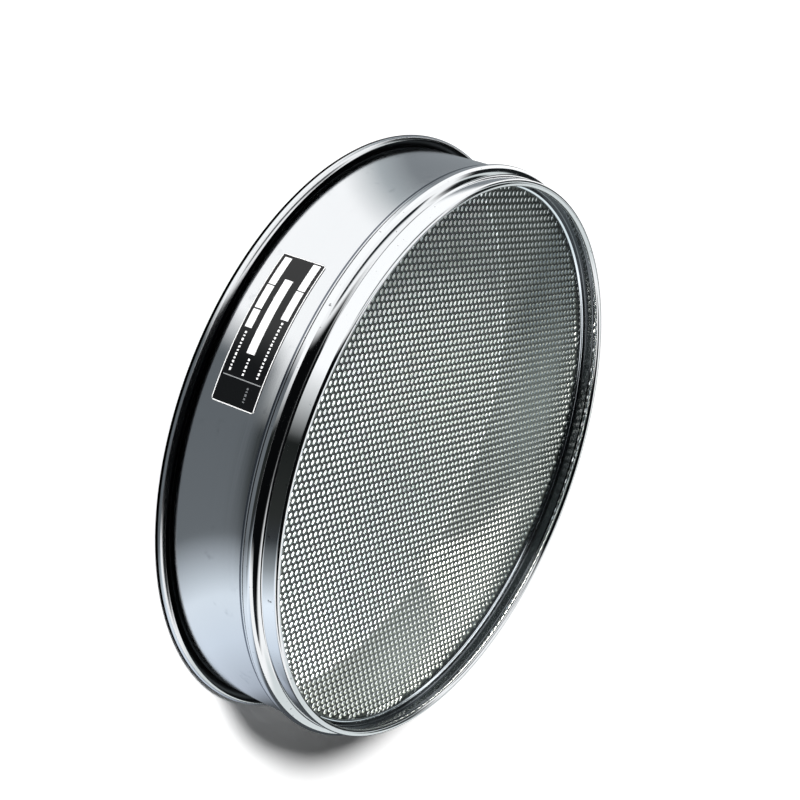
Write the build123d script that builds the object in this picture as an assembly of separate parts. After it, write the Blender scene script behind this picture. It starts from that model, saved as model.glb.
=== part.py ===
"""Laboratory test sieve, 200 mm bore, standing on its rolled mouth with the punched plate uppermost."""

from math import acos, copysign, degrees, hypot, sin, radians, sqrt
import os

from build123d import *

# Driving dimensions, in millimetres and degrees.
overall_height = 45.0
bore_radius = 100.0  # the next sieve's spigot drops into this bore

shell_gauge = 0.8
roll_radius = 2.35  # outside of the curled mouth
roll_turn = 240.0  # the curl stays open towards the wall
flange_width = 4.0  # ledge turned in under the plate
flange_bend = 0.6

plate_gauge = 0.7
plate_radius = 100.3
plate_depth = 8.6  # from the hem's top down to the plate
hole_diameter = 2.0
hole_pitch = 2.67
hole_row_angle = -11.7
hole_field_radius = 95.0
holes_cut_every = 9  # hole places from one opening to the next, each as many times a hole wide

skirt_gauge = 0.7
skirt_slip = 0.05  # radial clearance of the skirt over the shell
skirt_lap = 3.5  # how far the skirt reaches back over the shell
skirt_land = 0.8  # straight edge before the bead
bead_entry_radius = 0.8
bead_radius = 3.6
bead_rise = 0.75  # the bead's crest above the land
joggle_radius = 0.8
spigot_radius = 99.4
hem_radius = 1.25
hem_turn = 283.0

ring_gauge = 0.6
ring_slip = 0.05  # radial clearance of the ring inside the spigot
ring_inner_radius = 95.8
ring_shelf_height = 1.9  # above the plate
ring_wall_height = 3.0  # above the shelf
ring_foot_bend = 0.5
ring_nose_radius = 0.9

label_length = 51.0  # along the wall
label_width = 16.4
label_gauge = 0.2
label_corner = 1.2
label_seat = 0.02  # adhesive between label and wall
label_level = 18.2  # the label's middle above the mouth
label_azimuth = -100.1

# Levels and radii that follow from them.
wall_radius = bore_radius + shell_gauge
plate_top = overall_height - plate_depth
plate_bottom = plate_top - plate_gauge
ledge_under = plate_bottom - shell_gauge
skirt_bottom = plate_bottom - skirt_lap
land_radius = wall_radius + skirt_slip + skirt_gauge
hem_level = overall_height - hem_radius
ring_shelf = plate_top + ring_shelf_height
opening_radius = hole_diameter * holes_cut_every / 2
ring_wall_radius = spigot_radius - skirt_gauge - ring_slip - ring_gauge

# Headings of a section's line in the XZ plane.
outwards, upwards, downwards = 0.0, 90.0, -90.0


def run(length):
    """Straight stretch of a section's line."""
    return (length, 0.0)


def bend(radius, turn):
    """Arc of a section's line, to the left where the turn is positive."""
    return (radius, turn)


def toward(heading, length):
    """Step of the given length along a heading."""
    return Vector(length, 0).rotate(Axis.Z, heading)


def section_line(start, heading, moves, shift):
    """Edges of the line that starts here and follows the moves, shifted to its left."""
    edges = []
    point = Vector(*start) + toward(heading + 90, shift)
    for size, turn in moves:
        if turn:
            inward = copysign(90, turn)
            radius = size - copysign(shift, turn)
            centre = point + toward(heading + inward, radius)
            middle = centre + toward(heading - inward + turn / 2, radius)
            end = centre + toward(heading - inward + turn, radius)
            edges.append(ThreePointArc(point, middle, end))
            heading += turn
        else:
            end = point + toward(heading, size)
            edges.append(Line(point, end))
        point = end
    return edges


def spun_sheet(start, heading, moves, gauge):
    """Sheet that lies to the left of the moves, spun about Z."""
    face = section_line(start, heading, moves, 0)
    back = section_line(start, heading, moves, gauge)
    ends = [Line(face[0] @ 0, back[0] @ 0), Line(face[-1] @ 1, back[-1] @ 1)]
    section = make_face(face + back + ends)
    return revolve(Plane.XZ * section, axis=Axis.Z)


def body_shell():
    """Drum wall with a ledge turned in under the plate and its mouth curled outwards."""
    start = (bore_radius - flange_width, ledge_under)
    moves = [
        run(flange_width - flange_bend),
        bend(flange_bend, -90),
        run(ledge_under - flange_bend - roll_radius),
        bend(roll_radius, roll_turn),
    ]
    return spun_sheet(start, outwards, moves, shell_gauge)


def skirt_ring():
    """Ring slipped over the shell: land, bead, joggle, spigot collar and a hem curled inwards."""
    rise_reach = bead_entry_radius + bead_radius
    fall_reach = bead_radius + joggle_radius
    rise_turn = degrees(acos(1 - bead_rise / rise_reach))
    fall_turn = degrees(acos(1 - (bead_rise + land_radius - spigot_radius) / fall_reach))
    bead_length = rise_reach * sin(radians(rise_turn)) + fall_reach * sin(radians(fall_turn))
    spigot_foot = skirt_bottom + skirt_land + bead_length
    moves = [
        run(skirt_land),
        bend(bead_entry_radius, -rise_turn),
        bend(bead_radius, rise_turn + fall_turn),
        bend(joggle_radius, -fall_turn),
        run(hem_level - spigot_foot),
        bend(hem_radius, hem_turn),
    ]
    print("spigot length", round(hem_level - spigot_foot, 3), "mm")
    return spun_sheet((land_radius, skirt_bottom), upwards, moves, skirt_gauge)


def retaining_ring():
    """Pressed ring inside the skirt: wall, shelf, rounded nose and a leg that holds the plate down."""
    moves = [
        run(ring_wall_height - ring_foot_bend),
        bend(ring_foot_bend, -90),
        run(ring_wall_radius - ring_inner_radius - ring_foot_bend - ring_nose_radius),
        bend(ring_nose_radius, 90),
        run(ring_shelf_height - ring_nose_radius),
    ]
    start = (ring_wall_radius, ring_shelf + ring_wall_height)
    return spun_sheet(start, downwards, moves, ring_gauge)


def hole_centres():
    """Centres of the plate's openings, which keep to the 60 degree staggered rows of its holes."""
    step = hole_pitch * holes_cut_every
    row_step = step * sqrt(3) / 2
    reach = hole_field_radius - opening_radius
    rows = int(reach / row_step) + 1
    across = int(reach / step) + 2
    centres = []
    for row in range(-rows, rows + 1):
        for place in range(-across, across + 1):
            x = (place + (row % 2) / 2) * step
            y = row * row_step
            if hypot(x, y) <= reach:
                centres.append((x, y))
    return centres


def screen_plate():
    """Punched disc that lies on the shell's ledge."""
    centres = hole_centres()
    punched = Circle(plate_radius) - Locations(*centres) * Circle(opening_radius)
    blank = extrude(punched, amount=plate_gauge)
    print("openings cut", len(centres))
    return Pos(0, 0, plate_bottom) * Rot(0, 0, hole_row_angle) * blank


def rating_label():
    """Thin label laid round the wall, with rounded corners."""
    inner = wall_radius + label_seat
    turn = degrees(label_length / inner)
    section = Pos(inner + label_gauge / 2, label_level) * Rectangle(label_gauge, label_width)
    band = revolve(Plane.XZ * section, axis=Axis.Z, revolution_arc=turn)
    corners = band.edges().filter_by(lambda edge: abs(edge.length - label_gauge) < label_gauge / 10)
    rounded = fillet(corners, label_corner)
    return Rot(0, 0, label_azimuth - turn / 2) * rounded


pieces = {
    "body_shell": body_shell,
    "skirt_ring": skirt_ring,
    "retaining_ring": retaining_ring,
    "screen_plate": screen_plate,
    "rating_label": rating_label,
}

os.makedirs("parts", exist_ok=True)
for name, make in pieces.items():
    solid = make()
    solid.label = name
    export_step(solid, f"parts/{name}.step")
    print(name, round(solid.volume, 1), "mm3")
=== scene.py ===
import math

import bmesh
import bpy
from mathutils import Matrix, Vector, geometry


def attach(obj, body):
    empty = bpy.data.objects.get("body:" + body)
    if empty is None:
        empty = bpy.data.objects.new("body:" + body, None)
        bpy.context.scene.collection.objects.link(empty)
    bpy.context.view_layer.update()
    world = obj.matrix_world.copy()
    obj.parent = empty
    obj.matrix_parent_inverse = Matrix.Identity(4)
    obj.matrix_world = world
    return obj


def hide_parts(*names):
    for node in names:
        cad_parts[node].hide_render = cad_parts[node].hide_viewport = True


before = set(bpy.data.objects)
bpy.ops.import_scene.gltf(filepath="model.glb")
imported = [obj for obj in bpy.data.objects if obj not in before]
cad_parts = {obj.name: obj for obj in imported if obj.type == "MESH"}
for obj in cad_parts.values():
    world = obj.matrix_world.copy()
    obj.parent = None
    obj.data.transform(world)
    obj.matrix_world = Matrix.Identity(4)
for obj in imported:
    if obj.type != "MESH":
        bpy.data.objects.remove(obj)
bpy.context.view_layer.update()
scene = bpy.context.scene
scene.view_settings.view_transform = "Standard"
mm = 0.001
noiseLow, noiseHigh = 0.3, 0.7  # most of a noise texture's values lie between these
outwards, upwards, downwards = 0.0, 90.0, -90.0  # headings of a section's line


def srgb(hexColour):
    # "#rrggbb" as the linear colour that a shader socket takes
    parts = [int(hexColour[i:i + 2], 16) / 255 for i in (1, 3, 5)]
    linear = [c / 12.92 if c <= 0.04045 else ((c + 0.055) / 1.055) ** 2.4 for c in parts]
    return (*linear, 1.0)


def addNode(tree, kind, inputs=None, **settings):
    # inputs: socket name or number to a value, or to the output socket that feeds it
    node = tree.nodes.new(kind)
    for name, value in settings.items():
        setattr(node, name, value)
    for key, value in (inputs or {}).items():
        if isinstance(value, bpy.types.NodeSocket):
            tree.links.new(value, node.inputs[key])
        else:
            node.inputs[key].default_value = value
    return node


def axisDistance(tree, place):
    flatPlace = addNode(tree, "ShaderNodeVectorMath", {0: place, 1: (1.0, 1.0, 0.0)}, operation="MULTIPLY")
    distance = addNode(tree, "ShaderNodeVectorMath", {0: flatPlace.outputs[0]}, operation="LENGTH")
    return distance.outputs["Value"]


def softMask(tree, edges):
    # product of soft steps, each given as (socket, where it is 0, where it is 1)
    product = None
    for socket, zero, one in edges:
        rising = zero < one
        step = addNode(tree, "ShaderNodeMapRange", {
            "Value": socket, "From Min": min(zero, one), "From Max": max(zero, one),
            "To Min": 0.0 if rising else 1.0, "To Max": 1.0 if rising else 0.0},
            interpolation_type="SMOOTHSTEP").outputs[0]
        product = step if product is None else addNode(tree, "ShaderNodeMath", {
            0: product, 1: step}, operation="MULTIPLY").outputs[0]
    return product


def newMaterial(name):
    material = bpy.data.materials.new(name)
    material.use_nodes = True
    material.node_tree.nodes.clear()
    return material, material.node_tree


def addPiece(name, mesh, node, material):
    piece = bpy.data.objects.new(name, mesh)
    scene.collection.objects.link(piece)
    mesh.materials.append(material)
    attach(piece, "root")
    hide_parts(node)
    print(name, "triangles", sum(len(p.vertices) - 2 for p in mesh.polygons))


def finishMesh(bm, name, sharpAngle=35.0):
    bmesh.ops.recalc_face_normals(bm, faces=bm.faces)
    mesh = bpy.data.meshes.new(name)
    bm.to_mesh(mesh)
    bm.free()
    mesh.set_sharp_from_angle(angle=math.radians(sharpAngle))
    return mesh


def sheetLine(start, heading, moves, shift, arcStep=10.0):
    # points of a section's line of (size, turn) runs and bends, shifted to its left, in mm
    def toward(angle, length):
        return Vector((math.cos(math.radians(angle)), math.sin(math.radians(angle)))) * length

    points = [Vector(start) + toward(heading + 90, shift)]
    for size, turn in moves:
        if turn:
            inward = math.copysign(90, turn)
            radius = size - math.copysign(shift, turn)
            centre = points[-1] + toward(heading + inward, radius)
            steps = max(2, math.ceil(abs(turn) / arcStep))
            for i in range(1, steps + 1):
                points.append(centre + toward(heading - inward + turn * i / steps, radius))
            heading += turn
        else:
            points.append(points[-1] + toward(heading, size))
    return points


def spinSheet(name, start, heading, moves, gauge, segments):
    # closed section of the bent sheet, turned round Z
    face = sheetLine(start, heading, moves, 0)
    back = sheetLine(start, heading, moves, gauge)
    loop = face + back[::-1]
    bm = bmesh.new()
    rings = []
    for s in range(segments):
        angle = 2 * math.pi * s / segments
        across, along = math.cos(angle) * mm, math.sin(angle) * mm
        rings.append([bm.verts.new((r * across, r * along, z * mm)) for r, z in loop])
    for s in range(segments):
        a, b = rings[s], rings[(s + 1) % segments]
        for i in range(len(loop)):
            j = (i + 1) % len(loop)
            bm.faces.new((a[i], b[i], b[j], a[j])).smooth = True
    return finishMesh(bm, name)


# sizes that several pieces share, in mm
sieve = {
    "height": 45.0,
    "bore": 100.0,
    "wall": 0.8,
    "curlRadius": 2.35,  # outside of the curled mouth
    "plateGauge": 0.7,
    "plateDepth": 8.6,
    "skirtGauge": 0.7,
    "slip": 0.05,
    "spigot": 99.4,
}
wallRadius = sieve["bore"] + sieve["wall"]
plateTop = sieve["height"] - sieve["plateDepth"]
plateBottom = plateTop - sieve["plateGauge"]

# camera: above the plate, and rolled so that the drum's axis runs to the right
camera = {
    "place": (0.0, -528.96, 313.75),  # mm
    "aim": (-12.58, -52.74, 44.4),
    "roll": 109.897,
    "lens": 77.93,
    "sensor": 36.0,
}
cameraData = bpy.data.cameras.new("camera")
cameraData.lens = camera["lens"]
cameraData.sensor_width = camera["sensor"]
cameraObject = bpy.data.objects.new("camera", cameraData)
scene.collection.objects.link(cameraObject)
cameraPlace = Vector(camera["place"]) * mm
viewWay = Vector(camera["aim"]) * mm - cameraPlace
level = viewWay.to_track_quat("-Z", "Y").to_matrix()
turned = level @ Matrix.Rotation(math.radians(camera["roll"]), 3, "Z")
cameraObject.matrix_world = Matrix.Translation(cameraPlace) @ turned.to_4x4()
scene.camera = cameraObject
print("camera ready")

# Satin stainless steel sheet, cold rolled and then drawn round the drum: a soft mirror with a fine grain
# that runs round the wall and a few faint marks where it was handled. Inside the curled mouth and on the
# wall just above it the colour is painted shade: dark and duller.
satin = {
    "colour": "#ced0d2",
    "marked": "#b4b7bb",
    # painted shade: the dark colour inside the curled mouth and on the foot of the wall
    "creaseShade": "#33373a",
    "roughness": (0.12, 0.2),  # along the grain's low and high places
    "markedRoughness": 0.05,  # more than the rest
    "creaseShadeRoughness": 0.42,
    "grainLength": 60.0,  # mm along the grain
    "grainWidth": 0.5,  # mm across; the real grain is finer, and this coarse it still shows
    "grainDepth": 0.0008,  # mm
    "cloud": 9.0,  # mm across a handling mark
    "cloudFrom": 0.62,  # noise value where a mark starts, and where it is full
    "cloudTo": 0.8,
    "hollowTop": 3.9,  # mm, how far up the wall the painted shade reaches
    "hollowFade": 0.7,  # mm
    "wallReach": 0.05,  # mm, what still counts as the wall's outside
}
satinSteel, tree = newMaterial("satinStainlessSteel")
place = addNode(tree, "ShaderNodeTexCoord").outputs["Object"]
grainPlace = addNode(tree, "ShaderNodeMapping", {"Vector": place, "Scale": (
    1 / (satin["grainLength"] * mm), 1 / (satin["grainLength"] * mm), 1 / (satin["grainWidth"] * mm))})
grain = addNode(tree, "ShaderNodeTexNoise", {"Vector": grainPlace.outputs[0], "Scale": 1.0, "Detail": 3.0})
cloud = addNode(tree, "ShaderNodeTexNoise", {
    "Vector": place, "Scale": 1 / (satin["cloud"] * mm), "Detail": 4.0, "Roughness": 0.6})
cloudAmount = addNode(tree, "ShaderNodeMapRange", {
    "Value": cloud.outputs[0], "From Min": satin["cloudFrom"], "From Max": satin["cloudTo"]})
apart = addNode(tree, "ShaderNodeSeparateXYZ", {0: place})
fromAxis = axisDistance(tree, place)
curlPlace = addNode(tree, "ShaderNodeCombineXYZ", {0: fromAxis, 2: apart.outputs[2]})
curlMiddle = ((sieve["bore"] + sieve["curlRadius"]) * mm, 0.0, sieve["curlRadius"] * mm)
fromCurl = addNode(tree, "ShaderNodeVectorMath", {
    0: curlPlace.outputs[0], 1: curlMiddle}, operation="DISTANCE")
insideCurl = addNode(tree, "ShaderNodeMath", {
    0: fromCurl.outputs["Value"], 1: (sieve["curlRadius"] - sieve["wall"] / 2) * mm}, operation="LESS_THAN")
onWall = addNode(tree, "ShaderNodeMath", {
    0: fromAxis, 1: wallRadius * mm, 2: satin["wallReach"] * mm}, operation="COMPARE")
lowWall = softMask(tree, [
    (apart.outputs[2], satin["hollowTop"] * mm, (satin["hollowTop"] - satin["hollowFade"]) * mm)])
shadedWallFoot = addNode(tree, "ShaderNodeMath", {0: onWall.outputs[0], 1: lowWall}, operation="MULTIPLY")
# mask of the painted shade inside the curl and on the wall's foot
creaseShade = addNode(tree, "ShaderNodeMath", {
    0: insideCurl.outputs[0], 1: shadedWallFoot.outputs[0]}, operation="MAXIMUM")
clean = addNode(tree, "ShaderNodeMix", {
    0: cloudAmount.outputs[0], 6: srgb(satin["colour"]), 7: srgb(satin["marked"])}, data_type="RGBA")
tint = addNode(tree, "ShaderNodeMix", {
    0: creaseShade.outputs[0], 6: clean.outputs[2], 7: srgb(satin["creaseShade"])}, data_type="RGBA")
rough = addNode(tree, "ShaderNodeMapRange", {
    "Value": grain.outputs[0], "From Min": noiseLow, "From Max": noiseHigh,
    "To Min": satin["roughness"][0], "To Max": satin["roughness"][1]})
roughMarked = addNode(tree, "ShaderNodeMath", {
    0: cloudAmount.outputs[0], 1: satin["markedRoughness"], 2: rough.outputs[0]}, operation="MULTIPLY_ADD")
roughAll = addNode(tree, "ShaderNodeMix", {
    0: creaseShade.outputs[0], 2: roughMarked.outputs[0], 3: satin["creaseShadeRoughness"]}, data_type="FLOAT")
grainBump = addNode(tree, "ShaderNodeBump", {
    "Height": grain.outputs[0], "Distance": satin["grainDepth"] * mm, "Strength": 1.0})
shader = addNode(tree, "ShaderNodeBsdfPrincipled", {
    "Base Color": tint.outputs[2], "Metallic": 1.0, "Roughness": roughAll.outputs[0],
    "Normal": grainBump.outputs[0]})
addNode(tree, "ShaderNodeOutputMaterial", {"Surface": shader.outputs[0]})
print("satin steel ready")

# sizes of the skirt: land, bead, joggle, spigot collar and a hem rolled inwards, in mm
skirt = {
    "lap": 3.5, "land": 0.8, "entry": 0.8, "bead": 3.6, "rise": 0.75, "joggle": 0.8,
    "hem": 1.25, "hemTurn": 283.0, "segments": 384,
}

# Bright stainless steel, spun to shape and polished: a clear mirror that wavers a little where the roller
# left shallow rings, with dulled finger marks and a few small dark nicks.
bright = {
    "colour": "#d2d4d6",
    "nick": "#3a3c3e",
    "roughness": 0.055,
    "ringWidth": 0.9,  # mm between the roller's rings
    "ringLength": 45.0,  # mm over which a ring keeps its depth
    "ringDepth": 0.004,  # mm
    "waver": 14.0,  # mm
    "waverDepth": 0.02,  # mm
    "finger": 11.0,  # mm across a finger mark
    "fingerFrom": 0.5,  # noise value where a mark starts, and where it is full
    "fingerTo": 0.75,
    "fingerRoughness": 0.13,  # more than the rest
    "nickSize": 2.2,  # mm
    "nickFrom": 0.67,  # the same for a nick
    "nickTo": 0.74,
    "nickAmount": 0.8,  # share of the nick's colour where it is full
    # a darker colour along the skirt's foot at the seam
    "edge": "#62676f",
    "edgeBand": 0.7,  # mm up from the skirt's foot, along the seam, that is a darker colour
}
brightSteel, tree = newMaterial("polishedStainlessSteel")
place = addNode(tree, "ShaderNodeTexCoord").outputs["Object"]
ringPlace = addNode(tree, "ShaderNodeMapping", {"Vector": place, "Scale": (
    1 / (bright["ringLength"] * mm), 1 / (bright["ringLength"] * mm), 1 / (bright["ringWidth"] * mm))})
rings = addNode(tree, "ShaderNodeTexNoise", {"Vector": ringPlace.outputs[0], "Scale": 1.0, "Detail": 2.0})
waver = addNode(tree, "ShaderNodeTexNoise", {
    "Vector": place, "Scale": 1 / (bright["waver"] * mm), "Detail": 2.0})
finger = addNode(tree, "ShaderNodeTexNoise", {
    "Vector": place, "Scale": 1 / (bright["finger"] * mm), "Detail": 5.0, "Roughness": 0.65})
fingerAmount = addNode(tree, "ShaderNodeMapRange", {
    "Value": finger.outputs[0], "From Min": bright["fingerFrom"], "From Max": bright["fingerTo"],
    "To Min": 0.0, "To Max": bright["fingerRoughness"]})
nick = addNode(tree, "ShaderNodeTexNoise", {
    "Vector": place, "Scale": 1 / (bright["nickSize"] * mm), "Detail": 3.0, "Roughness": 0.7})
nickAmount = addNode(tree, "ShaderNodeMapRange", {
    "Value": nick.outputs[0], "From Min": bright["nickFrom"], "From Max": bright["nickTo"],
    "To Min": 0.0, "To Max": bright["nickAmount"]})
nicked = addNode(tree, "ShaderNodeMix", {
    0: nickAmount.outputs[0], 6: srgb(bright["colour"]), 7: srgb(bright["nick"])},
    data_type="RGBA", name="steelColour")
apart = addNode(tree, "ShaderNodeSeparateXYZ", {0: place})
# darker along the skirt's foot, at the seam
edge = addNode(tree, "ShaderNodeMath", {
    0: apart.outputs[2], 1: (plateBottom - skirt["lap"] + bright["edgeBand"]) * mm}, operation="LESS_THAN")
tint = addNode(tree, "ShaderNodeMix", {
    0: edge.outputs[0], 6: nicked.outputs[2], 7: srgb(bright["edge"])}, data_type="RGBA")
rough = addNode(tree, "ShaderNodeMath", {
    0: fingerAmount.outputs[0], 1: bright["roughness"]}, operation="ADD", name="steelRoughness")
waverBump = addNode(tree, "ShaderNodeBump", {
    "Height": waver.outputs[0], "Distance": bright["waverDepth"] * mm, "Strength": 1.0})
ringBump = addNode(tree, "ShaderNodeBump", {
    "Height": rings.outputs[0], "Distance": bright["ringDepth"] * mm, "Strength": 1.0,
    "Normal": waverBump.outputs[0]})
shader = addNode(tree, "ShaderNodeBsdfPrincipled", {
    "Base Color": tint.outputs[2], "Metallic": 1.0, "Roughness": rough.outputs[0],
    "Normal": ringBump.outputs[0]})
addNode(tree, "ShaderNodeOutputMaterial", {"Surface": shader.outputs[0]})
print("polished steel ready")

# the drum: a ledge turned in under the plate, the wall, and the mouth rolled outwards
drum = {"ledge": 4.0, "ledgeBend": 0.6, "rollTurn": 240.0, "segments": 384}
ledgeUnder = plateBottom - sieve["wall"]
drumMoves = [
    (drum["ledge"] - drum["ledgeBend"], 0),
    (drum["ledgeBend"], -90),
    (ledgeUnder - drum["ledgeBend"] - sieve["curlRadius"], 0),
    (sieve["curlRadius"], drum["rollTurn"]),
]
drumStart = (sieve["bore"] - drum["ledge"], ledgeUnder)
drumMesh = spinSheet("drumShell", drumStart, outwards, drumMoves, sieve["wall"], drum["segments"])
addPiece("drumShell", drumMesh, "body_shell", satinSteel)

# the skirt, bent from its foot upwards
landRadius = wallRadius + sieve["slip"] + sieve["skirtGauge"]
skirtBottom = plateBottom - skirt["lap"]
hemLevel = sieve["height"] - skirt["hem"]
riseReach = skirt["entry"] + skirt["bead"]
fallReach = skirt["bead"] + skirt["joggle"]
riseTurn = math.degrees(math.acos(1 - skirt["rise"] / riseReach))
fallTurn = math.degrees(math.acos(1 - (skirt["rise"] + landRadius - sieve["spigot"]) / fallReach))
beadLength = riseReach * math.sin(math.radians(riseTurn)) + fallReach * math.sin(math.radians(fallTurn))
skirtMoves = [
    (skirt["land"], 0),
    (skirt["entry"], -riseTurn),
    (skirt["bead"], riseTurn + fallTurn),
    (skirt["joggle"], -fallTurn),
    (hemLevel - skirtBottom - skirt["land"] - beadLength, 0),
    (skirt["hem"], skirt["hemTurn"]),
]
skirtStart = (landRadius, skirtBottom)
skirtMesh = spinSheet("skirtRing", skirtStart, upwards, skirtMoves, sieve["skirtGauge"], skirt["segments"])
addPiece("skirtRing", skirtMesh, "skirt_ring", brightSteel)

# the pressed ring inside the skirt that holds the plate down
ring = {
    "gauge": 0.6, "slip": 0.05, "inner": 95.8, "shelf": 1.9, "wall": 3.0, "foot": 0.5, "nose": 0.9,
    "segments": 384,
    # the ring's colour, darker than such steel: painted shade; the nose's colour below is a painted highlight
    "colour": "#6e7377",
    "roughness": 0.15,
    "noseHighlight": "#dfe6ec",
    "noseHighlightRoughness": 0.06,
    "noseHighlightReach": 0.75,  # mm outward from the nose, where the painted highlight lies
    "legLeft": 1.2,  # mm of the leg, above the plate, that the painted highlight leaves out
}
ringWall = sieve["spigot"] - sieve["skirtGauge"] - ring["slip"] - ring["gauge"]
ringMoves = [
    (ring["wall"] - ring["foot"], 0),
    (ring["foot"], -90),
    (ringWall - ring["inner"] - ring["foot"] - ring["nose"], 0),
    (ring["nose"], 90),
    (ring["shelf"] - ring["nose"], 0),
]
ringStart = (ringWall, plateTop + ring["shelf"] + ring["wall"])
ringMesh = spinSheet("retainingRing", ringStart, downwards, ringMoves, ring["gauge"], ring["segments"])

# Pressed stainless steel, as it left the die: the polished steel's marks on a softer mirror. Its colour is
# darker than such steel is, as painted shade, and a bright line round the nose is a painted highlight.
pressedSteel = brightSteel.copy()
pressedSteel.name = "pressedStainlessSteel"
tree = pressedSteel.node_tree
place = addNode(tree, "ShaderNodeTexCoord").outputs["Object"]
apart = addNode(tree, "ShaderNodeSeparateXYZ", {0: place})
fromAxis = axisDistance(tree, place)
onNose = addNode(tree, "ShaderNodeMath", {
    0: fromAxis, 1: (ring["inner"] + ring["noseHighlightReach"]) * mm}, operation="LESS_THAN")
overLeg = addNode(tree, "ShaderNodeMath", {
    0: apart.outputs[2], 1: (plateTop + ring["legLeft"]) * mm}, operation="GREATER_THAN")
noseHighlightMask = addNode(tree, "ShaderNodeMath", {0: onNose.outputs[0], 1: overLeg.outputs[0]}, operation="MULTIPLY")
# painted shade on the ring, with a painted highlight round the nose
pressedColour = addNode(tree, "ShaderNodeMix", {
    0: noseHighlightMask.outputs[0], 6: srgb(ring["colour"]), 7: srgb(ring["noseHighlight"])}, data_type="RGBA")
pressedRoughness = addNode(tree, "ShaderNodeMix", {
    0: noseHighlightMask.outputs[0], 2: ring["roughness"], 3: ring["noseHighlightRoughness"]}, data_type="FLOAT")
tree.links.new(pressedColour.outputs[2], tree.nodes["steelColour"].inputs[6])
tree.links.new(pressedRoughness.outputs[0], tree.nodes["steelRoughness"].inputs[1])
addPiece("retainingRing", ringMesh, "retaining_ring", pressedSteel)

# the punched plate: round holes in staggered rows
plate = {
    "radius": 100.3, "hole": 2.0, "pitch": 2.67, "turn": -11.7, "field": 96.6,
    "sides": 9, "rimSides": 240,
    "mergeReach": 1e-7,  # corners nearer than this are one
    "start": (0.777, -1.139),  # a hole's place from the middle, along and across the rows
}
rowStep = plate["pitch"] * math.sqrt(3) / 2


def holeCentres():
    reach = plate["field"] - plate["hole"] / 2
    rows = int(reach / rowStep) + 1
    across = int(reach / plate["pitch"]) + 2
    centres = []
    for row in range(-rows, rows + 1):
        for step in range(-across, across + 1):
            x = (step + (row % 2) / 2) * plate["pitch"] + plate["start"][0]
            y = row * rowStep + plate["start"][1]
            if math.hypot(x, y) <= reach:
                centres.append((x, y))
    return centres


def circle(x, y, radius, sides):
    # corners on the plate, turned with its rows
    turn = math.radians(plate["turn"])
    cosine, sine = math.cos(turn), math.sin(turn)
    corners = []
    for i in range(sides):
        px = x + radius * math.cos(2 * math.pi * i / sides)
        py = y + radius * math.sin(2 * math.pi * i / sides)
        corners.append(Vector((px * cosine - py * sine, px * sine + py * cosine)))
    return corners


def punchedMesh(name):
    # both faces filled round every hole, joined by the holes' walls and the rim
    sides, rimSides = plate["sides"], plate["rimSides"]
    # the corners lie further out, so that a hole keeps the round one's area
    grow = 1 / math.sqrt(math.sin(2 * math.pi / sides) * sides / (2 * math.pi))
    loops = [circle(0, 0, plate["radius"], rimSides)]
    loops += [circle(x, y, plate["hole"] / 2 * grow, sides) for x, y in holeCentres()]
    flat, edges, owner = [], [], []
    for number, loop in enumerate(loops):
        start = len(flat)
        flat.extend(loop)
        owner.extend([number] * len(loop))
        edges.extend((start + i, start + (i + 1) % len(loop)) for i in range(len(loop)))
    insideOnly = 1
    _, _, triangles, *_ = geometry.delaunay_2d_cdt(flat, edges, [], insideOnly, plate["mergeReach"])
    bm = bmesh.new()
    top = [bm.verts.new((p.x * mm, p.y * mm, plateTop * mm)) for p in flat]
    low = [bm.verts.new((p.x * mm, p.y * mm, plateBottom * mm)) for p in flat]
    for corners in triangles:
        owners = {owner[i] for i in corners}
        if len(owners) == 1 and 0 not in owners:
            continue  # all three corners on one hole: the hole itself
        bm.faces.new([top[i] for i in corners])
        bm.faces.new([low[i] for i in reversed(corners)])
    for a, b in edges:
        bm.faces.new((top[a], top[b], low[b], low[a])).smooth = True
    print("holes punched", len(loops) - 1)
    return finishMesh(bm, name, 50.0)


# Punched stainless sheet, not polished: duller than the drum, with a thin lip at each hole where the punch
# pulled the surface down, its bright colour a painted highlight; dull walls in the holes where the sheet
# was sheared; and paler patches of painted reflection. The colours are darker than such steel is, because
# the far wall that it mirrors is brighter than white, so in other light they need raising.
punched = {
    "colour": "#1d2220",
    # painted reflection: paler patches of the sheet
    "paintedReflection": "#727977",
    "paintedReflectionAt": [(-34.0, 62.0), (74.0, 34.0), (52.0, 78.0), (10.0, 96.0)],  # mm, the patches' middles
    "paintedReflectionReach": 46.0,  # mm
    # painted highlight: the bright colour of each hole's lip
    "lipAndHighlight": "#636964",
    "sheared": "#666c68",
    "metallic": 0.6,
    "roughness": (0.23, 0.39),  # from the mottle's low places to its high ones
    "lipAndHighlightWidth": 0.1,  # mm
    "lipDrop": 0.03,  # mm
    "mottle": 5.0,  # mm
    "faceSkin": 0.02,  # mm below a face that still count as the face
}
punchedSteel, tree = newMaterial("punchedStainlessSheet")
place = addNode(tree, "ShaderNodeTexCoord").outputs["Object"]
rows = addNode(tree, "ShaderNodeMapping", {
    "Vector": place, "Rotation": (0, 0, -math.radians(plate["turn"])),
    "Location": (-plate["start"][0] * mm, -plate["start"][1] * mm, 0.0)}, vector_type="POINT")
cell = (plate["pitch"] * mm, 2 * rowStep * mm, 1.0)
reaches = []
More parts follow.
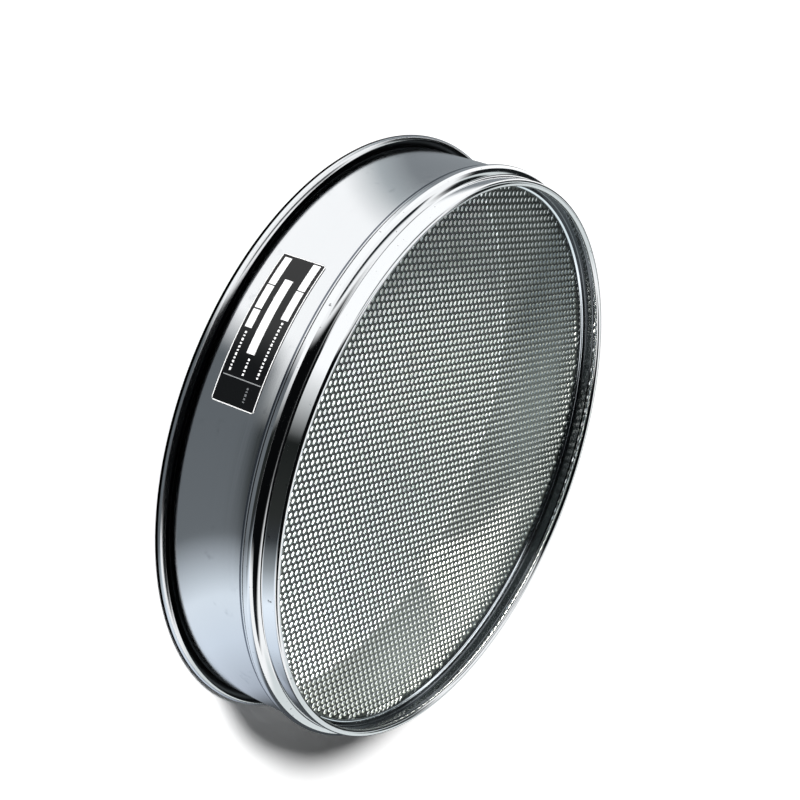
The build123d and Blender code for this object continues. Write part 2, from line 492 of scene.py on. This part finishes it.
for shift in ((0.5, 0.5, 0.0), (0.0, 0.0, 0.0)):
    # distance to the nearest hole of every other row, and then of the rows between
    counted = addNode(tree, "ShaderNodeVectorMath", {0: rows.outputs[0], 1: cell}, operation="DIVIDE")
    moved = addNode(tree, "ShaderNodeVectorMath", {0: counted.outputs[0], 1: shift}, operation="ADD")
    part = addNode(tree, "ShaderNodeVectorMath", {0: moved.outputs[0]}, operation="FRACTION")
    middle = addNode(tree, "ShaderNodeVectorMath", {
        0: part.outputs[0], 1: (0.5, 0.5, 0.0)}, operation="SUBTRACT")
    back = addNode(tree, "ShaderNodeVectorMath", {
        0: middle.outputs[0], 1: (cell[0], cell[1], 0.0)}, operation="MULTIPLY")
    reaches.append(addNode(tree, "ShaderNodeVectorMath", {0: back.outputs[0]}, operation="LENGTH"))
nearest = addNode(tree, "ShaderNodeMath", {
    0: reaches[0].outputs["Value"], 1: reaches[1].outputs["Value"]}, operation="MINIMUM")
holeEdge = plate["hole"] / 2 * mm
# mask of each hole's lip: it carries the painted highlight and the lip's drop
lipAndHighlight = softMask(tree, [(nearest.outputs[0], holeEdge, holeEdge + punched["lipAndHighlightWidth"] * mm)])
mottle = addNode(tree, "ShaderNodeTexNoise", {
    "Vector": place, "Scale": 1 / (punched["mottle"] * mm), "Detail": 5.0, "Roughness": 0.7})
depth = addNode(tree, "ShaderNodeSeparateXYZ", {0: place})
fromPatch = None
for x, y in punched["paintedReflectionAt"]:
    away = addNode(tree, "ShaderNodeVectorMath", {
        0: place, 1: (x * mm, y * mm, plateTop * mm)}, operation="DISTANCE").outputs["Value"]
    fromPatch = away if fromPatch is None else addNode(tree, "ShaderNodeMath", {
        0: fromPatch, 1: away}, operation="MINIMUM").outputs[0]
# painted reflection, paler round the listed places
paintedReflection = softMask(tree, [(fromPatch, punched["paintedReflectionReach"] * mm, 0.0)])
sheetTint = addNode(tree, "ShaderNodeMix", {
    0: paintedReflection, 6: srgb(punched["colour"]), 7: srgb(punched["paintedReflection"])}, data_type="RGBA")
faceTint = addNode(tree, "ShaderNodeMix", {
    0: lipAndHighlight, 6: srgb(punched["lipAndHighlight"]), 7: sheetTint.outputs[2]}, data_type="RGBA")
inHole = addNode(tree, "ShaderNodeMath", {
    0: depth.outputs[2], 1: (plateTop + plateBottom) / 2 * mm,
    2: (sieve["plateGauge"] / 2 - punched["faceSkin"]) * mm}, operation="COMPARE")
tint = addNode(tree, "ShaderNodeMix", {
    0: inHole.outputs[0], 6: faceTint.outputs[2], 7: srgb(punched["sheared"])}, data_type="RGBA")
rough = addNode(tree, "ShaderNodeMapRange", {
    "Value": mottle.outputs[0], "From Min": noiseLow, "From Max": noiseHigh,
    "To Min": punched["roughness"][0], "To Max": punched["roughness"][1]})
lipBump = addNode(tree, "ShaderNodeBump", {
    "Height": lipAndHighlight, "Distance": punched["lipDrop"] * mm, "Strength": 1.0})
shader = addNode(tree, "ShaderNodeBsdfPrincipled", {
    "Base Color": tint.outputs[2], "Metallic": punched["metallic"], "Roughness": rough.outputs[0],
    "Normal": lipBump.outputs[0]})
addNode(tree, "ShaderNodeOutputMaterial", {"Surface": shader.outputs[0]})
addPiece("punchedPlate", punchedMesh("punchedPlate"), "screen_plate", punchedSteel)

# the label round the wall; its length runs round the drum, with its middle at "azimuth"
label = {
    "length": 51.0, "width": 16.4, "gauge": 0.2, "corner": 1.2, "seat": 0.02, "level": 18.2,
    "azimuth": -100.1, "columns": 96, "cornerSteps": 6,
}


def labelMesh(name):
    # rounded rectangle in columns, wrapped round the wall
    inner = wallRadius + label["seat"]
    outer = inner + label["gauge"]
    half, high, corner = label["length"] / 2, label["width"] / 2, label["corner"]
    steps = label["cornerSteps"]
    places = [-half + corner * (1 - math.cos(math.pi * i / (2 * steps))) for i in range(steps)]
    column = (label["length"] - 2 * corner) / label["columns"]
    places += [-half + corner + column * i for i in range(label["columns"] + 1)]
    places += [-p for p in reversed(places[:steps])]
    bm = bmesh.new()
    columns = []
    for p in places:
        into = max(0.0, abs(p) - (half - corner))
        reach = high - corner + math.sqrt(max(0.0, corner ** 2 - into ** 2))
        angle = math.radians(label["azimuth"]) + p / inner
        corners = []
        for radius, z in ((inner, -reach), (outer, -reach), (outer, reach), (inner, reach)):
            corners.append(bm.verts.new((
                radius * math.cos(angle) * mm, radius * math.sin(angle) * mm, (label["level"] + z) * mm)))
        columns.append(corners)
    for a, b in zip(columns, columns[1:]):
        for i in range(4):
            j = (i + 1) % 4
            bm.faces.new((a[i], b[i], b[j], a[j])).smooth = True
    bm.faces.new(columns[0])
    bm.faces.new(columns[-1][::-1])
    return finishMesh(bm, name)


# Printed polyester film under a clear laminate: deep black ink with white panels and rules, and a wet-looking
# gloss that is a little scuffed. The lines that would carry writing are rows of short dashes.
printed = {
    "ink": "#0b0c0d",
    "white": "#eeeeee",
    "rule": "#8d8f90",
    "faint": "#6e7072",
    "border": 0.32,  # mm
    "borderInset": 0.05,
    "dashLengths": (0.7, 0.45, 0.9, 0.55),  # mm
    "dashGap": 0.55,
    "faintLengths": (0.6, 0.4, 0.8),
    "faintGap": 0.45,
    "scuff": 4.0,  # mm across a scuffed place
    "scuffFrom": 0.4,  # noise value where a scuff starts, and where it is full
    "scuffTo": 0.7,
    "roughness": (0.06, 0.16),
    "specular": 0.3,
    "ripple": 9.0,  # mm
    "rippleDepth": 0.05,  # mm
}
half, high = label["length"] / 2, label["width"] / 2
inset, line = printed["borderInset"], printed["border"]
# panels as (from, to) round the drum and (low, high) up it, in mm from the label's middle
whitePanels = [
    (-half + inset, half - inset, -high + inset, -high + inset + line),
    (-half + inset, half - inset, high - inset - line, high - inset),
    (-half + inset, -half + inset + line, -high + inset, high - inset),
    (half - inset - line, half - inset, -high + inset, high - inset),
    (-4.9, 1.3, -6.7, -4.1),
    (-13.6, -5.4, -6.7, -4.1),
    (-24.2, -14.0, -6.7, -4.1),
    (-16.9, 8.8, -2.0, 1.0),
    (-14.4, -4.3, 3.9, 6.6),
    (-24.6, -14.8, 3.9, 6.6),
]
ruledPanels = [(16.7, 17.0, -7.0, 7.4)]
dashRows = [  # from, to, level, height
    (2.6, 15.6, -5.3, 0.7),
    (10.2, 16.0, -0.1, 0.7),
    (-3.4, 15.6, 5.2, 0.7),
]
faintRows = [(18.6, 23.8, 3.4, 0.7)]


def dashes(rowsOfDashes, lengths, gap):
    # short marks of mixed length along each row
    panels = []
    for start, end, middle, height in rowsOfDashes:
        s, number = start, 0
        while s + lengths[number % len(lengths)] <= end:
            length = lengths[number % len(lengths)]
            panels.append((s, s + length, middle - height / 2, middle + height / 2))
            s += length + gap
            number += 1
    return panels


labelFilm, tree = newMaterial("laminatedPrintedFilm")
place = addNode(tree, "ShaderNodeTexCoord").outputs["Object"]
apart = addNode(tree, "ShaderNodeSeparateXYZ", {0: place})
back = math.radians(-label["azimuth"])
turnedPlace = addNode(tree, "ShaderNodeVectorRotate", {
    "Vector": place, "Angle": back}, rotation_type="Z_AXIS")
turnedApart = addNode(tree, "ShaderNodeSeparateXYZ", {0: turnedPlace.outputs[0]})
angle = addNode(tree, "ShaderNodeMath", {
    0: turnedApart.outputs[1], 1: turnedApart.outputs[0]}, operation="ARCTAN2")
along = addNode(tree, "ShaderNodeMath", {
    0: angle.outputs[0], 1: wallRadius + label["seat"]}, operation="MULTIPLY")
up = addNode(tree, "ShaderNodeMath", {
    0: apart.outputs[2], 1: 1 / mm, 2: -label["level"]}, operation="MULTIPLY_ADD")


def panelMask(panels):
    # 1 inside any of the panels
    total = None
    for start, end, low, top in panels:
        across = addNode(tree, "ShaderNodeMath", {
            0: along.outputs[0], 1: (start + end) / 2, 2: (end - start) / 2}, operation="COMPARE")
        upright = addNode(tree, "ShaderNodeMath", {
            0: up.outputs[0], 1: (low + top) / 2, 2: (top - low) / 2}, operation="COMPARE")
        both = addNode(tree, "ShaderNodeMath", {
            0: across.outputs[0], 1: upright.outputs[0]}, operation="MULTIPLY")
        total = both if total is None else addNode(tree, "ShaderNodeMath", {
            0: total.outputs[0], 1: both.outputs[0]}, operation="MAXIMUM")
    return total.outputs[0]


layers = [
    (dashes(faintRows, printed["faintLengths"], printed["faintGap"]), printed["faint"]),
    (ruledPanels, printed["rule"]),
    (whitePanels + dashes(dashRows, printed["dashLengths"], printed["dashGap"]), printed["white"]),
]
colour = srgb(printed["ink"])
for panels, hexColour in layers:
    colour = addNode(tree, "ShaderNodeMix", {
        0: panelMask(panels), 6: colour, 7: srgb(hexColour)}, data_type="RGBA").outputs[2]
scuff = addNode(tree, "ShaderNodeTexNoise", {
    "Vector": place, "Scale": 1 / (printed["scuff"] * mm), "Detail": 5.0, "Roughness": 0.7})
rough = addNode(tree, "ShaderNodeMapRange", {
    "Value": scuff.outputs[0], "From Min": printed["scuffFrom"], "From Max": printed["scuffTo"],
    "To Min": printed["roughness"][0], "To Max": printed["roughness"][1]})
ripple = addNode(tree, "ShaderNodeTexNoise", {
    "Vector": place, "Scale": 1 / (printed["ripple"] * mm), "Detail": 1.0})
rippleBump = addNode(tree, "ShaderNodeBump", {
    "Height": ripple.outputs[0], "Distance": printed["rippleDepth"] * mm, "Strength": 1.0})
shader = addNode(tree, "ShaderNodeBsdfPrincipled", {
    "Base Color": colour, "Roughness": rough.outputs[0], "Specular IOR Level": printed["specular"],
    "Normal": rippleBump.outputs[0]})
addNode(tree, "ShaderNodeOutputMaterial", {"Surface": shader.outputs[0]})
addPiece("printedLabel", labelMesh("printedLabel"), "rating_label", labelFilm)

# Matt white paper, brightened as painted light where the camera sees it, most of all inside the drum where
# the plate shades it. In reflections it glows by itself, brighter than white, painted with grey cards round
# the drum, a contact shadow under the curl, and a strip and patch of light inside it. Bounced light gets its
# plain colour.
paper = {
    "half": 6.0,  # m
    "plain": "#ededed",
    "cameraGain": 1.5,  # times its plain colour, seen directly
    "insideGain": 7.0,  # the same inside the drum, toward -X
    "insideLitGain": 14.0,  # and toward +X, brighter there as a painted pool of light
    "farShare": 0.65,  # what is left of either at the foot of the far wall, as painted shade
    "level": 1.5,  # brightness of the reflected paper where its colour is white
    # painted reflections of the floor round the drum, darkest toward +X as painted shadow: degrees from the
    # camera's side, toward +X, and colour
    "nearCard": [(-180, "#d5d5d5"), (-112, "#6c6e70"), (-98, "#7b8084"), (-72, "#7b8084"), (-62, "#a6acaf"),
                 (-50, "#ffffff"), (-14, "#ffffff"), (-5, "#5f6468"), (35, "#676c70"), (52, "#dce5ee"),
                 (66, "#d0dae6"), (86, "#a4acb8"), (97, "#484c50"), (115, "#2c3033"), (180, "#2c3033")],
    "farCard": [(-180, "#ffffff"), (-11, "#ffffff"), (0, "#b4b6b6"), (9, "#1c1f1e"), (30, "#2a2c2b"),
                (37, "#34373a"), (45, "#8a9094"), (56, "#e8f1fa"), (72, "#ccd6e2"), (90, "#484c50"),
                (180, "#2c3033")],
    "cardStart": 151.0,  # mm from the axis, where the near colours give way to the far ones
    "cardEnd": 157.0,
    # inside the drum, as the steel there mirrors it: (mm along X, colour)
    "inside": [(-100, "#717474"), (-62, "#717474"), (-48, "#42494e"), (-4, "#626a6e"), (10, "#969898"),
               (45, "#a6a8a8"), (76, "#929494"), (100, "#989a9a")],
    "paintedLightStrip": "#fffbf0",  # painted light: a slanting strip, and the patch below
    "stripAlong": (2.0, 42.0),  # mm along X
    "stripAcross": (41.0, 63.0),  # mm of Y less X
    "stripFade": (4.0, 3.0),  # mm at either side, along and across
    "patchX": (16.0, 54.0),  # mm; a patch nearer the middle
    "patchY": (-44.0, 24.0),
    "patchFade": 6.0,
    "insideFoot": "#85898b",  # along the foot of the far wall
    "footStart": 70.0,  # mm along Y
    "footEnd": 86.0,
    "stripExtra": 9.0,  # brightness that the painted light of the strip and the patch adds
    "insideLevel": 6.5,  # brightness where the inside's colour is white
    "contactShadowEnd": 106.9,  # mm from the axis, where the painted contact shadow, a black line under the curl in reflections, ends
    "contactShadowFade": 0.4,
}
floorMesh = bpy.data.meshes.new("floor")
far = paper["half"]
floorMesh.from_pydata([(-far, -far, 0), (far, -far, 0), (far, far, 0), (-far, far, 0)], [], [(0, 1, 2, 3)])
floor = bpy.data.objects.new("floor", floorMesh)
scene.collection.objects.link(floor)
floorPaper, tree = newMaterial("whitePaper")
rays = addNode(tree, "ShaderNodeLightPath")
place = addNode(tree, "ShaderNodeTexCoord").outputs["Object"]
apart = addNode(tree, "ShaderNodeSeparateXYZ", {0: place})
minusY = addNode(tree, "ShaderNodeMath", {0: apart.outputs[1], 1: -1.0}, operation="MULTIPLY")
bearing = addNode(tree, "ShaderNodeMath", {0: apart.outputs[0], 1: minusY.outputs[0]}, operation="ARCTAN2")
turnShare = addNode(tree, "ShaderNodeMapRange", {
    "Value": bearing.outputs[0], "From Min": -math.pi, "From Max": math.pi, "To Min": 0.0, "To Max": 1.0})
radius = axisDistance(tree, place)


def cardRamp(share, stops):
    # colours at shares of the way, from 0 to 1
    ramp = addNode(tree, "ShaderNodeValToRGB", {0: share})
    elements = ramp.color_ramp.elements
    while len(elements) > 1:
        elements.remove(elements[-1])
    for number, (position, hexColour) in enumerate(stops):
        element = elements[0] if number == 0 else elements.new(1.0)
        element.position = position
        element.color = srgb(hexColour)
    return ramp


nearRamp, farRamp = [
    cardRamp(turnShare.outputs[0], [((turn + 180) / 360, hexColour) for turn, hexColour in paper[name]])
    for name in ("nearCard", "farCard")]
outward = softMask(tree, [(radius, paper["cardStart"] * mm, paper["cardEnd"] * mm)])
card = addNode(tree, "ShaderNodeMix", {
    0: outward, 6: nearRamp.outputs[0], 7: farRamp.outputs[0]}, data_type="RGBA")
mouth = (sieve["bore"] + sieve["curlRadius"]) * mm  # where the curl touches the floor
inside = addNode(tree, "ShaderNodeMath", {0: radius, 1: mouth}, operation="LESS_THAN")
across = addNode(tree, "ShaderNodeMapRange", {
    "Value": apart.outputs[0], "From Min": -sieve["bore"] * mm, "From Max": sieve["bore"] * mm})
insideRamp = cardRamp(across.outputs[0], [
    ((x + sieve["bore"]) / (2 * sieve["bore"]), hexColour) for x, hexColour in paper["inside"]])
foot = softMask(tree, [(apart.outputs[1], paper["footStart"] * mm, paper["footEnd"] * mm)])
insideSeen = addNode(tree, "ShaderNodeMix", {
    0: foot, 6: insideRamp.outputs[0], 7: srgb(paper["insideFoot"])}, data_type="RGBA",
    blend_type="LIGHTEN")


def between(socket, limits, fade):
    # edges of a mask that is 1 between the limits, in mm, and fades at either side
    low, high = limits
    return [(socket, (low - fade) * mm, (low + fade) * mm), (socket, (high + fade) * mm, (high - fade) * mm)]


slant = addNode(tree, "ShaderNodeMath", {0: apart.outputs[1], 1: apart.outputs[0]}, operation="SUBTRACT")
fadeAlong, fadeAcross = paper["stripFade"]
# painted light, in reflections: a slanting strip and a patch inside the drum
paintedLightStrip = softMask(tree, between(apart.outputs[0], paper["stripAlong"], fadeAlong)
                 + between(slant.outputs[0], paper["stripAcross"], fadeAcross))
paintedLightPatch = softMask(tree, between(apart.outputs[0], paper["patchX"], paper["patchFade"])
                 + between(apart.outputs[1], paper["patchY"], paper["patchFade"]))
lit = addNode(tree, "ShaderNodeMath", {0: paintedLightStrip, 1: paintedLightPatch}, operation="MAXIMUM")
insideLit = addNode(tree, "ShaderNodeMix", {
    0: lit.outputs[0], 6: insideSeen.outputs[2], 7: srgb(paper["paintedLightStrip"])}, data_type="RGBA")
# painted contact shadow: black in reflections under the curl
pastContactShadow = addNode(tree, "ShaderNodeMapRange", {
    "Value": radius, "From Min": (paper["contactShadowEnd"] - paper["contactShadowFade"]) * mm,
    "From Max": (paper["contactShadowEnd"] + paper["contactShadowFade"]) * mm})
outside = addNode(tree, "ShaderNodeMix", {
    0: pastContactShadow.outputs[0], 6: (0.0, 0.0, 0.0, 1.0), 7: card.outputs[2]}, data_type="RGBA")
reflected = addNode(tree, "ShaderNodeMix", {
    0: inside.outputs[0], 6: outside.outputs[2], 7: insideLit.outputs[2]}, data_type="RGBA")
insideLevel = addNode(tree, "ShaderNodeMath", {
    0: lit.outputs[0], 1: paper["stripExtra"], 2: paper["insideLevel"]}, operation="MULTIPLY_ADD")
reflectedLevel = addNode(tree, "ShaderNodeMix", {
    0: inside.outputs[0], 2: paper["level"], 3: insideLevel.outputs[0]}, data_type="FLOAT")
seenByMetal = addNode(tree, "ShaderNodeEmission", {
    "Color": reflected.outputs[2], "Strength": reflectedLevel.outputs[0]})
# painted light inside the drum, seen directly: brighter toward +X, dimmer toward the far wall
sideGain = addNode(tree, "ShaderNodeMapRange", {
    "Value": apart.outputs[0], "From Min": -sieve["bore"] * mm, "From Max": sieve["bore"] * mm,
    "To Min": paper["insideGain"], "To Max": paper["insideLitGain"]})
farGain = addNode(tree, "ShaderNodeMapRange", {
    "Value": apart.outputs[1], "From Min": 0.0, "From Max": sieve["bore"] * mm,
    "To Min": 1.0, "To Max": paper["farShare"]})
insideGain = addNode(tree, "ShaderNodeMath", {
    0: sideGain.outputs[0], 1: farGain.outputs[0]}, operation="MULTIPLY")
gain = addNode(tree, "ShaderNodeMix", {
    0: inside.outputs[0], 2: paper["cameraGain"], 3: insideGain.outputs[0]}, data_type="FLOAT")
plain = srgb(paper["plain"])
direct = addNode(tree, "ShaderNodeMath", {
    0: rays.outputs["Is Camera Ray"], 1: rays.outputs["Is Transmission Ray"]}, operation="MAXIMUM")
boosted = addNode(tree, "ShaderNodeVectorMath", {0: plain[:3], "Scale": gain.outputs[0]}, operation="SCALE")
seen = addNode(tree, "ShaderNodeMix", {
    0: direct.outputs[0], 6: plain, 7: boosted.outputs[0]}, data_type="RGBA")
matt = addNode(tree, "ShaderNodeBsdfDiffuse", {"Color": seen.outputs[2]})
surface = addNode(tree, "ShaderNodeMixShader", {
    0: rays.outputs["Is Glossy Ray"], 1: matt.outputs[0], 2: seenByMetal.outputs[0]})
addNode(tree, "ShaderNodeOutputMaterial", {"Surface": surface.outputs[0]})
floorMesh.materials.append(floorPaper)
print("floor ready")

# Studio round the sieve: white to the camera, dim white for bounced light, and in the metal a dark room on
# the camera's side, a pale far wall whose -X half is dark but for a band, dark panels to the sides and
# white elsewhere. This is set up for the one view: from other sides the edges show on the drum's wall.
studio = {
    "level": 0.05,
    "metalLevel": 1.4,  # brightness of what is reflected, where its colour is white
    "dark": "#08090a",
    "dimHalf": "#1a1d1e",
    "farWall": "#d8dede",
    "side": "#1c2226",
    "white": "#ffffff",
    # edges as (axis of the direction, where the mask is 0, where it is 1)
    "darkEdges": [(0, -0.5, -0.3), (0, 0.9, 0.74), (1, 0.3, 0.05), (2, -0.05, 0.03)],
    "farEdges": [(1, 0.3, 0.5), (2, 0.72, 0.6)],
    "aboveBand": [(2, 0.44, 0.49)],
    "belowBand": [(2, 0.39, 0.32)],
    "dimEdges": [(0, 0.06, -0.1)],
    "sideLevels": [(2, 0.39, 0.45), (2, 0.75, 0.6)],
    "sideReach": (0.45, 0.6),  # to either side
    "sideEdges": [(1, 0.25, 0.1)],
}
world = bpy.data.worlds.new("studio")
scene.world = world
world.use_nodes = True
tree = world.node_tree
tree.nodes.clear()
rays = addNode(tree, "ShaderNodeLightPath")
way = addNode(tree, "ShaderNodeTexCoord").outputs["Generated"]
apart = addNode(tree, "ShaderNodeSeparateXYZ", {0: way})


def skyMask(edges, first=()):
    return softMask(tree, [*first, *((apart.outputs[axis], zero, one) for axis, zero, one in edges)])


dimBand = addNode(tree, "ShaderNodeMath", {
    0: skyMask(studio["aboveBand"]), 1: skyMask(studio["belowBand"])}, operation="MAXIMUM")
dimMask = addNode(tree, "ShaderNodeMath", {
    0: dimBand.outputs[0], 1: skyMask(studio["dimEdges"])}, operation="MULTIPLY")
farWall = addNode(tree, "ShaderNodeMix", {
    0: dimMask.outputs[0], 6: srgb(studio["farWall"]), 7: srgb(studio["dimHalf"])}, data_type="RGBA")
sideways = addNode(tree, "ShaderNodeMath", {0: apart.outputs[0]}, operation="ABSOLUTE")
sidePlace = skyMask(studio["sideEdges"], [(sideways.outputs[0], *studio["sideReach"])])
sideMask = addNode(tree, "ShaderNodeMath", {
    0: skyMask(studio["sideLevels"]), 1: sidePlace}, operation="MULTIPLY")
room = srgb(studio["white"])
layers = [
    (sideMask.outputs[0], srgb(studio["side"])),
    (skyMask(studio["farEdges"]), farWall.outputs[2]),
    (skyMask(studio["darkEdges"]), srgb(studio["dark"])),
]
for mask, colour in layers:
    room = addNode(tree, "ShaderNodeMix", {0: mask, 6: room, 7: colour}, data_type="RGBA").outputs[2]
plainLight = addNode(tree, "ShaderNodeBackground", {
    "Color": srgb(studio["white"]), "Strength": studio["level"]})
whiteSky = addNode(tree, "ShaderNodeBackground", {"Color": srgb(studio["white"]), "Strength": 1.0})
roomSky = addNode(tree, "ShaderNodeBackground", {"Color": room, "Strength": studio["metalLevel"]})
direct = addNode(tree, "ShaderNodeMath", {
    0: rays.outputs["Is Camera Ray"], 1: rays.outputs["Is Transmission Ray"]}, operation="MAXIMUM")
withCamera = addNode(tree, "ShaderNodeMixShader", {
    0: direct.outputs[0], 1: plainLight.outputs[0], 2: whiteSky.outputs[0]})
withMetal = addNode(tree, "ShaderNodeMixShader", {
    0: rays.outputs["Is Glossy Ray"], 1: withCamera.outputs[0], 2: roomSky.outputs[0]})
addNode(tree, "ShaderNodeOutputWorld", {"Surface": withMetal.outputs[0]})

# one soft lamp on the camera's side, toward -X and about as high as the camera
lamp = {"azimuth": -117.0, "elevation": 34.0, "strength": 4.5, "spread": 9.0}
lampData = bpy.data.lights.new("softLamp", "SUN")
lampData.energy = lamp["strength"]
lampData.angle = math.radians(lamp["spread"])
lampObject = bpy.data.objects.new("softLamp", lampData)
scene.collection.objects.link(lampObject)
a, e = math.radians(lamp["azimuth"]), math.radians(lamp["elevation"])
fromLamp = Vector((math.cos(e) * math.cos(a), math.cos(e) * math.sin(a), math.sin(e)))
lampObject.rotation_euler = fromLamp.to_track_quat("Z", "Y").to_euler()
lampObject.visible_glossy = False
print("lights ready")
